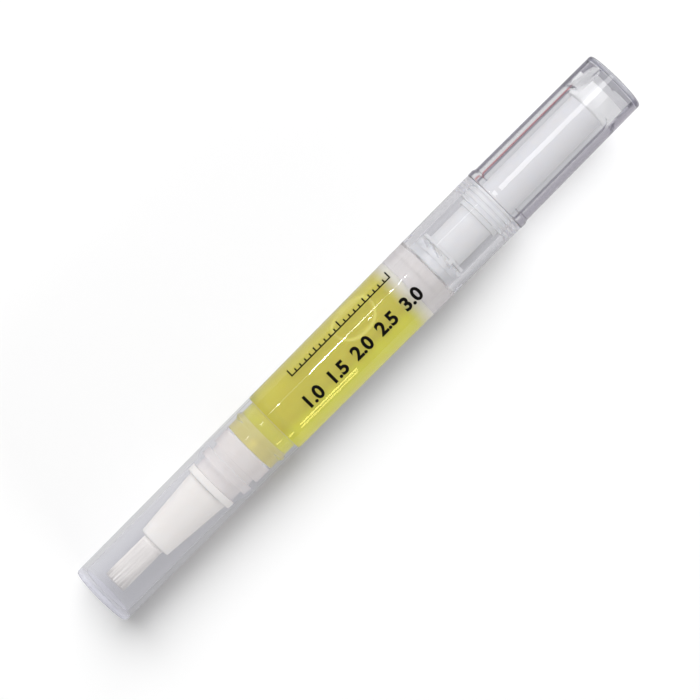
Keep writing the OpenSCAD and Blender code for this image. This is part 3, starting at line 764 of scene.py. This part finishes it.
tuftShape = {
    "strands": 900, "strandRadius": 0.075, "strandSides": 6, "strandSteps": 4, "taper": 0.4, "taperPower": 5,
    "rootDepth": 0.6, "fill": 0.97, "uneven": 0.6, "splay": 0.16, "inwardLean": 0.4, "driftShare": 0.5,
    "driftRadius": 0.3, "seed": 5, "coreRadius": 2.15, "coreSetback": -0.42, "coreSides": 48,
}


def makeTuft(shape):
    bm = bmesh.new()
    bmesh.ops.create_circle(bm, cap_ends=True, segments=shape["strandSides"], radius=1)
    steps = shape["strandSteps"]
    for step in range(steps):
        top = [face for face in bm.faces if all(round(vert.co.z) == step for vert in face.verts)]
        pull(bm, top, 1)
        if step:
            bmesh.ops.delete(bm, geom=top, context="FACES_ONLY")
    faceOut(bm)
    strand = bpy.data.meshes.new("strand")
    bm.to_mesh(strand)
    bm.free()
    draw = random.Random(shape["seed"])
    bm = bmesh.new()
    root = nozzleFront + shape["rootDepth"]
    golden = math.pi * (3 - math.sqrt(5))
    for number in range(shape["strands"]):
        first = len(bm.verts)
        bm.from_mesh(strand)
        bm.verts.ensure_lookup_table()
        share = math.sqrt((number + 0.5) / shape["strands"])
        radius = (tuftRadius - shape["strandRadius"]) * shape["fill"] * share
        angle = number * golden
        tip = bristleFront + draw.random() ** 2 * shape["uneven"]
        lean = shape["splay"] * share ** 3 * draw.uniform(-shape["inwardLean"], 1)
        drift = draw.uniform(-1, 1) * shape["splay"] * shape["driftShare"]
        for vert in bm.verts[first:]:
            reach = vert.co.z / steps
            width = shape["strandRadius"] * (1 - shape["taper"] * reach ** shape["taperPower"])
            outward = min(radius + lean * reach ** 2, tuftRadius - width)
            turn = angle + drift * reach ** 2 / max(radius, shape["driftRadius"])
            y = outward * math.cos(turn) + vert.co.x * width
            z = outward * math.sin(turn) + vert.co.y * width
            vert.co = (along(root + (tip - root) * reach), y * mm, axisHeight + z * mm)
    bpy.data.meshes.remove(strand)
    faceOut(bm)
    for face in bm.faces:
        face.smooth = len(face.verts) == 4
    tuft = pieceFrom(bm, "bristles", nylon)
    place(tuft, "barrel", "nylon", "bristles")
    coreFront = bristleFront + shape["uneven"] + shape["coreSetback"]    # strands that the outer ones hide
    core = turned("bristleCore", [
        (coreFront, 0, 0),
        (coreFront, shape["coreRadius"], 0.2),
        (root, shape["coreRadius"], 0),
        (root, 0, 0)], nylon, ring=False, sides=shape["coreSides"])
    place(core, "barrel", "nylon")


makeTuft(tuftShape)
print("brush made")

# Neck plug, piston and screw
plugFront, plugRear, plugRadius = span("neck_plug")
plugShape = {
    "stemRadius": 2.45, "stemRear": -6.5, "pressed": 0.05, "tubeBoreRadius": 0.83, "tubeBoreDepth": 2.5,
    "meterRadius": 0.5, "funnelRadius": 2.8, "funnelDepth": 1.4,
}


def makeNeckPlug(shape):
    radius = plugRadius + shape["pressed"]
    tubeStop = plugFront + shape["tubeBoreDepth"]
    plug = turned("neckPlug", [
        (plugFront, shape["tubeBoreRadius"], 0),
        (plugFront, shape["stemRadius"], 0.1),
        (shape["stemRear"], shape["stemRadius"], 0),
        (shape["stemRear"], radius, 0.1),
        (plugRear, radius, 0.15),
        (plugRear, shape["funnelRadius"], 0.1),
        (plugRear - shape["funnelDepth"], shape["meterRadius"], 0),
        (tubeStop, shape["meterRadius"], 0),
        (tubeStop, shape["tubeBoreRadius"], 0)], wetNatural)
    place(plug, "barrel", "natural_plastic", "neck_plug")


makeNeckPlug(plugShape)

pistonShape = {
    "noseRadius": 3.92, "noseLength": 1.1, "waistRadius": 4.55, "lipWidth": 1.0, "lipSlope": 0.25,
    "socketFront": 1.9, "socketRear": 3.4, "socketRadius": 2.3, "throatRadius": 1.74, "mouthRadius": 2.27,
    "film": 0.07, "filmBite": 0.02,
}


def makePiston(shape):
    lip, slope, waist = shape["lipWidth"], shape["lipSlope"], shape["waistRadius"]
    nose = pistonFront + shape["noseLength"]
    socketFront, socketRear = pistonFront + shape["socketFront"], pistonFront + shape["socketRear"]
    side = [
        (nose, pistonRadius, 0.15),
        (nose + lip, pistonRadius, 0.15),
        (nose + lip + slope, waist, 0.15),
        (pistonRear - 2 * lip - slope, waist, 0.15),
        (pistonRear - 2 * lip, pistonRadius, 0.15),
        (pistonRear - lip, pistonRadius, 0.15),
        (pistonRear - lip + slope, waist, 0.1),
        (pistonRear, waist, 0.15)]
    piston = turned("piston", [
        (pistonFront, 0, 0),
        (pistonFront, shape["noseRadius"], 0.25)] + side + [
        (pistonRear, shape["mouthRadius"], 0.1),
        (pistonRear - lip, shape["throatRadius"], 0),
        (socketRear, shape["throatRadius"], 0),
        (socketRear, shape["socketRadius"], 0),
        (socketFront, shape["socketRadius"], 0),
        (socketFront, 0, 0)], natural, ring=False)
    place(piston, "piston", "natural_plastic", "piston")
    skin = pistonRadius + shape["film"]  # the oil between the piston's side and the chamber
    inner = [(z, radius - shape["filmBite"], 0) for z, radius, _ in side]
    film = turned("oilFilm", inner[:1] + [(nose, skin, 0), (pistonRear, skin, 0)] + inner[:0:-1], filmClear)
    place(film, "piston", "oil")


makePiston(pistonShape)

screwFront, screwRear, screwRadius = span("screw_rod")
screwShape = {
    "lead": 3.0, "starts": 2, "threadDepth": 0.38, "flatHalf": 1.95, "headRadius": 2.25, "headLength": 1.4,
    "neckRadius": 1.67, "shoulder": 4.3, "sides": 48, "ringsPerMm": 8, "runOut": 0.8,
    "crestSlope": 1.6, "crestShift": 0.3, "startGap": 0.01,
}


def makeScrew(shape):
    headRear = screwFront + shape["headLength"]
    threadFront = screwFront + shape["shoulder"]
    body = turned("screwRod", [
        (screwFront, 0, 0),
        (screwFront, shape["headRadius"], 0.15),
        (headRear, shape["headRadius"], 0.1),
        (headRear, shape["neckRadius"], 0),
        (threadFront, shape["neckRadius"], 0),
        (threadFront, screwRadius, 0),
        (screwRear, screwRadius, 0.3),
        (screwRear, 0, 0)], driveWhite, ring=False, sides=shape["sides"])
    bm = bmesh.new()
    bm.from_mesh(body.data)
    count = int((screwRear - threadFront) * shape["ringsPerMm"])
    for number in range(1, count):  # rings for the thread to follow
        where = threadFront + (screwRear - threadFront) * number / count
        score(bm, (along(where), 0, axisHeight), (1, 0, 0), 1e-7)
    pitch = shape["lead"] / shape["starts"]
    for vert in bm.verts:
        where = (vert.co.x - seamX) / mm
        y, z = vert.co.y, vert.co.z - axisHeight
        radius = math.hypot(y, z) / mm
        if where < threadFront + shape["startGap"] or radius < shape["neckRadius"]:
            continue
        phase = (where - threadFront) / pitch + shape["starts"] * math.atan2(z, y) / math.tau
        wave = abs(2 * (phase % 1) - 1)
        crest = min(1, max(0, shape["crestSlope"] * wave - shape["crestShift"]))
        fade = min(1, (where - threadFront) / shape["runOut"])
        cutBack = shape["threadDepth"] * (1 - crest) * fade
        scale = (radius - cutBack) / radius
        flat = shape["flatHalf"] * mm
        vert.co.y = max(-flat, min(flat, y * scale))
        vert.co.z = axisHeight + z * scale
    bm.normal_update()
    smoothAll(bm)
    bm.to_mesh(body.data)
    bm.free()
    place(body, "screw", "white_plastic", "screw_rod")


makeScrew(screwShape)
print("piston and screw made")

# Drive sleeve with its eight-sided head, and the knob whose socket takes the head
sleeveFront, sleeveRear, headRadius = span("drive_sleeve")
knobFront, knobRear, collarRadius = span("knob")
bearingFront, bearingRear, _ = span("rear_bearing")
sleeveShape = {
    "radius": 3.75, "boreRadius": 2.62, "spigotRadius": 3.15, "spigotLength": 0.66, "collarWidth": 1.0,
    "collarGap": 0.06, "collarRadius": 4.4, "headLength": 4.3, "headSides": 8, "headTurn": 13,
    "leadRadius": 4.3, "leadEdge": 0.05, "archLength": 2.0, "archSteps": 10,
}


def makeSleeve(shape):
    radius, bore = shape["radius"], shape["boreRadius"]
    headFront = sleeveRear - shape["headLength"]
    shoulder = sleeveFront + shape["spigotLength"]
    collarRear = bearingFront - shape["collarGap"]
    collarFront = collarRear - shape["collarWidth"]
    tube = turned("sleeveTube", [
        (sleeveFront, bore, 0.05),
        (sleeveFront, shape["spigotRadius"], 0.1),
        (shoulder, shape["spigotRadius"], 0.05),
        (shoulder, radius, 0.1),
        (collarFront, radius, 0.05),
        (collarFront, shape["collarRadius"], 0.1),
        (collarRear, shape["collarRadius"], 0.1),
        (collarRear, radius, 0.05),
        (headFront, radius, 0),
        (headFront, bore, 0)], milky)
    place(tube, "knob", "milky_plastic", "drive_sleeve")
    arch = []
    for step in range(shape["archSteps"] + 1):  # a quarter of an ellipse
        turn = math.pi / 2 * step / shape["archSteps"]
        arch.append((headFront + shape["leadEdge"] + shape["archLength"] * (1 - math.cos(turn)),
                     shape["leadRadius"] + (headRadius - shape["leadRadius"]) * math.sin(turn), 0))
    head = turned("sleeveHead", [
        (headFront, bore, 0),
        (headFront, shape["leadRadius"], 0)] + arch + [
        (sleeveRear, headRadius, 0),
        (sleeveRear, bore, 0)], headHighlightMilky)
    tool = prism("headFlats", headFront - 1, sleeveRear + 1, 2 * headRadius, shape["headSides"],
                 shape["headTurn"])
    cut(head, tool, "INTERSECT")
    place(head, "knob", "milky_plastic")


makeSleeve(sleeveShape)

knobShape = {
    "collarLength": 1.3, "collarEdge": 0.3, "collarFoot": 0.5, "frontRadius": 6.7, "rearRadius": 6.49,
    "edge": 0.4, "boreFront": 5.15, "boreRear": 5.1, "socketFront": 82.2, "socketDiameter": 10.1,
    "overlap": 0.5, "endWall": 1.0,
    "leadLength": 2.0, "leadRadius": 4.3,      # the cone that the flats of the socket cut into arches
}


def makeKnob(shape, sleeve):
    collarRear = knobFront + shape["collarLength"]
    leadRear = shape["socketFront"] + shape["leadLength"]
    knob = turned("knob", [
        (knobRear, 0, 0),
        (knobRear, shape["rearRadius"], shape["edge"]),
        (collarRear + shape["collarFoot"], shape["frontRadius"], 0.3),
        (collarRear, collarRadius, 0.15),
        (knobFront, collarRadius, shape["collarEdge"]),
        (knobFront, shape["boreFront"], 0.12),
        (shape["socketFront"], shape["boreRear"], 0.8),
        (leadRear, shape["leadRadius"], 0),
        (leadRear, 0, 0)], knobClear, ring=False)
    tool = prism("socketTool", shape["socketFront"] - shape["overlap"], knobRear - shape["endWall"],
                 shape["socketDiameter"], sleeve["headSides"], sleeve["headTurn"])
    cut(knob, tool, "DIFFERENCE")
    place(knob, "knob", "knob_clear", "knob")


makeKnob(knobShape, sleeveShape)

bearingShape = {
    "boreRadius": 3.81, "radius": 5.24, "grooves": 3, "grooveWidth": 0.5, "grooveDepth": 0.35,
    "firstGroove": 0.2, "grooveStep": 0.3,     # shares of the ring's length
}


def makeBearing(shape):
    radius = shape["radius"]
    outline = [(bearingFront, shape["boreRadius"], 0.05), (bearingFront, radius, 0.08)]
    floor = radius - shape["grooveDepth"]
    length = bearingRear - bearingFront
    for number in range(shape["grooves"]):
        middle = bearingFront + length * (shape["firstGroove"] + shape["grooveStep"] * number)
        front, rear = middle - shape["grooveWidth"] / 2, middle + shape["grooveWidth"] / 2
        outline += [(front, radius, 0.05), (front, floor, 0.05), (rear, floor, 0.05), (rear, radius, 0.05)]
    outline += [(bearingRear, radius, 0.08), (bearingRear, shape["boreRadius"], 0.05)]
    bearing = turned("rearBearing", outline, bearingNatural)
    place(bearing, "barrel", "natural_plastic", "rear_bearing")


makeBearing(bearingShape)
print("sleeve, knob and bearing made")

# CAD nodes whose shape is right keep it and get a finish
for node, material in {
    "bristle_holder": driveWhite, "feed_tube": natural, "thread_nut": bearingNatural,
    "ratchet_ring": bearingNatural, "click_ring": milky,
}.items():
    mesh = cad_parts[node].data
    mesh.materials.clear()
    mesh.materials.append(material)

# Printed scale: a rule along the chamber with a tick each tenth and a number each half millilitre
scaleShape = {
    "full": 34.1, "perMl": 12.73, "tenths": 20, "ruleTurn": 33, "ruleWidth": 0.3, "tickWidth": 0.3,
    "shortTick": 1.0, "middleTick": 1.4, "longTick": 2.0, "tickGap": 0.02, "digitTurn": -25.8,
    "digitHeight": 2.6, "digitShare": 0.7, "boldness": 0.13, "firstHalf": 2, "halves": 6,
    "lift": 0.006, "thickness": 0.012, "cutEvery": 0.25, "merge": 0.001,
}


def skinRadius(z):  # outside of the barrel at a place along it
    share = z / barrelRear
    return barrelShape["frontRadius"] + (barrelRadius - barrelShape["frontRadius"]) * share


def wrapPrint(bm, name, shape, turn):  # flat artwork in mm, x along the pen and y round it
    low = min(vert.co.y for vert in bm.verts)
    high = max(vert.co.y for vert in bm.verts)
    for number in range(1, int((high - low) / shape["cutEvery"]) + 1):
        score(bm, (0, low + number * shape["cutEvery"], 0), (0, 1, 0), 1e-5)
    bmesh.ops.triangulate(bm, faces=[face for face in bm.faces if len(face.verts) > 4])
    pull(bm, bm.faces[:], shape["thickness"])
    for vert in bm.verts:
        radius = skinRadius(vert.co.x) + shape["lift"] + vert.co.z
        angle = math.radians(turn) + vert.co.y / skinRadius(vert.co.x)
        y, z = radius * math.sin(angle), radius * math.cos(angle)
        vert.co = (along(vert.co.x), y * mm, axisHeight + z * mm)
    faceOut(bm)
    place(pieceFrom(bm, name, ink), "barrel", "barrel_clear")


def addBar(bm, left, right, low, high):
    corners = (left, low, 0), (right, low, 0), (right, high, 0), (left, high, 0)
    bm.faces.new([bm.verts.new(point) for point in corners])


def makeRule(shape):
    bm = bmesh.new()
    half = shape["tickWidth"] / 2
    step = shape["perMl"] / 10
    addBar(bm, shape["full"] - shape["tenths"] * step - half, shape["full"] + half, 0, shape["ruleWidth"])
    for tenth in range(shape["tenths"] + 1):
        where = shape["full"] - tenth * step
        size = "longTick" if tenth % 10 == 0 else "middleTick" if tenth % 5 == 0 else "shortTick"
        addBar(bm, where - half, where + half, shape["ruleWidth"] + shape["tickGap"], shape[size])
    wrapPrint(bm, "scaleTicks", shape, shape["ruleTurn"])


def makeNumber(shape, halves):
    text = bpy.data.curves.new("number", "FONT")
    text.body = "%.1f" % (halves / 2)
    text.size = shape["digitHeight"] / shape["digitShare"]     # digits fill this share of a line
    text.offset = shape["boldness"]
    text.align_x = "CENTER"
    holder = addObject("number", text)
    flat = bpy.data.meshes.new_from_object(holder.evaluated_get(bpy.context.evaluated_depsgraph_get()))
    bpy.data.objects.remove(holder)
    bm = bmesh.new()
    bm.from_mesh(flat)
    bpy.data.meshes.remove(flat)
    bmesh.ops.remove_doubles(bm, verts=bm.verts[:], dist=shape["merge"])
    where = shape["full"] - (shape["halves"] - halves) * shape["perMl"] / 2
    move(bm, (where, 0, 0))
    wrapPrint(bm, "scaleNumber" + str(halves), shape, shape["digitTurn"])


makeRule(scaleShape)
for halfMl in range(scaleShape["firstHalf"], scaleShape["halves"] + 1):
    makeNumber(scaleShape, halfMl)
print("scale printed")

# Studio: a white floor, soft light from the far side, and small lamps for the streaks along the pen
studio = {
    "floorSize": 4.0, "floorDrop": 0.02, "floorRoughness": 0.9, "floorShine": 0.1, "grainSize": 30,
    "whiteFloor": (0.96, 0.96, 0.96), "whiteGrain": (0.955, 0.955, 0.955), "greyFloor": (0.42, 0.42, 0.42),
    "greyGlow": 0.24, "sky": (1, 1, 1), "skyLight": 0.275,
    "softLight": (36, 30, 1.5, 1.3, 1.3, 25.4),        # tilt and turn, distance, length and width, watts
    "fillLight": (-80, 0, 1.2, 0.8, 0.3, 6.5),
    "streakDistance": 0.6, "throughDistance": 0.59, "white": (1, 1, 1), "yellow": (1, 0.88, 0.3),
    "bounces": {"max_bounces": 32, "transmission_bounces": 28, "transparent_max_bounces": 32,
                "glossy_bounces": 12, "diffuse_bounces": 8},
}
# Streak lamps, seen by reflection only: tilt in degrees, place along the pen, length and width in mm,
# brightness, and words: yellow, and through where the lamp is seen through the cap too
streaks = (
    (31.5, -16.2, 19, 30, 60), (31.5, 3.0, 19, 30, 12), (31.5, -41.2, 2, 30, 50), (31.5, 17.0, 2, 30, 40),
    (31.5, 21.4, 2, 30, 30), (31.5, 24.4, 1.5, 30, 30), (31.5, -13.2, 79, 30, 1.2), (31.5, 51.0, 21, 30, 2.5),
    (31.5, -51.0, 2, 30, 25, "through"), (31.5, -43.9, 2.5, 30, 8, "through"),
    (18.5, 4.5, 2.5, 30, 20), (17.0, 107, 74, 170, 3.6),
    (-67, -25.5, 29, 70, 8, "yellow"), (-78, -25.5, 29, 70, 6, "yellow"),
    (-70, -45.6, 5, 70, 7, "yellow", "through"), (20, 135, 11, 300, 1.5),
)


# The photograph's background was whitened, so the floor looks whiter to the camera than through the pen
def floorPaint(options):
    paint = Paint("floor")
    finish = {"Roughness": options["floorRoughness"], "Specular IOR Level": options["floorShine"]}
    grain = paint.noise(options["grainSize"])
    colour = paint.blend(grain, options["whiteFloor"], options["whiteGrain"])
    sheet = paint.skin({**finish, "Base Color": colour})
    grey = paint.skin({
        **finish, "Base Color": options["greyFloor"], "Emission Color": (1, 1, 1),
        "Emission Strength": options["greyGlow"]})
    return paint.finish(paint.mixed(paint.ray("Is Camera Ray"), grey, sheet))


def addFloor(options):
    bm = bmesh.new()
    bmesh.ops.create_grid(bm, x_segments=8, y_segments=8, size=options["floorSize"] / 2)
    move(bm, (0, 0, -options["floorDrop"] * mm))
    pieceFrom(bm, "floor", floorPaint(options))


def addLamp(name, tilt, turn, distance, long, wide, power, shift=0):
    data = bpy.data.lights.new(name, "AREA")
    data.shape = "RECTANGLE"
    data.size = long
    data.size_y = wide
    data.energy = power
    lamp = addObject(name, data)
    aim = Matrix.Rotation(-math.radians(turn), 4, "Z") @ Matrix.Rotation(-math.radians(tilt), 4, "X")
    lamp.matrix_world = (Matrix.Translation(penMiddle + Vector((shift * mm, 0, 0))) @ aim
                         @ Matrix.Translation((0, 0, distance)))
    return lamp


def addStudio(options):
    addFloor(options)
    for name in ("softLight", "fillLight"):
        lamp = addLamp(name, *options[name])
        lamp.visible_glossy = False
        lamp.visible_transmission = False
    for number, (tilt, shift, long, wide, brightness, *words) in enumerate(streaks):
        power = brightness * math.pi * long * wide * mm * mm
        distance = options["throughDistance" if "through" in words else "streakDistance"]
        streak = addLamp("streak" + str(number), tilt, 0, distance, long * mm, wide * mm, power, shift)
        streak.data.color = options["yellow" if "yellow" in words else "white"]
        streak.visible_diffuse = False
        streak.visible_transmission = "through" in words
    world = bpy.data.worlds.new("studio")
    world.use_nodes = True
    sky = world.node_tree.nodes["Background"]
    sky.inputs["Color"].default_value = (*options["sky"], 1)
    sky.inputs["Strength"].default_value = options["skyLight"]
    scene = bpy.context.scene
    scene.world = world
    scene.view_settings.view_transform = "Standard"
    for kind, bounces in options["bounces"].items():
        setattr(scene.cycles, kind, bounces)


addStudio(studio)
print("studio lit")
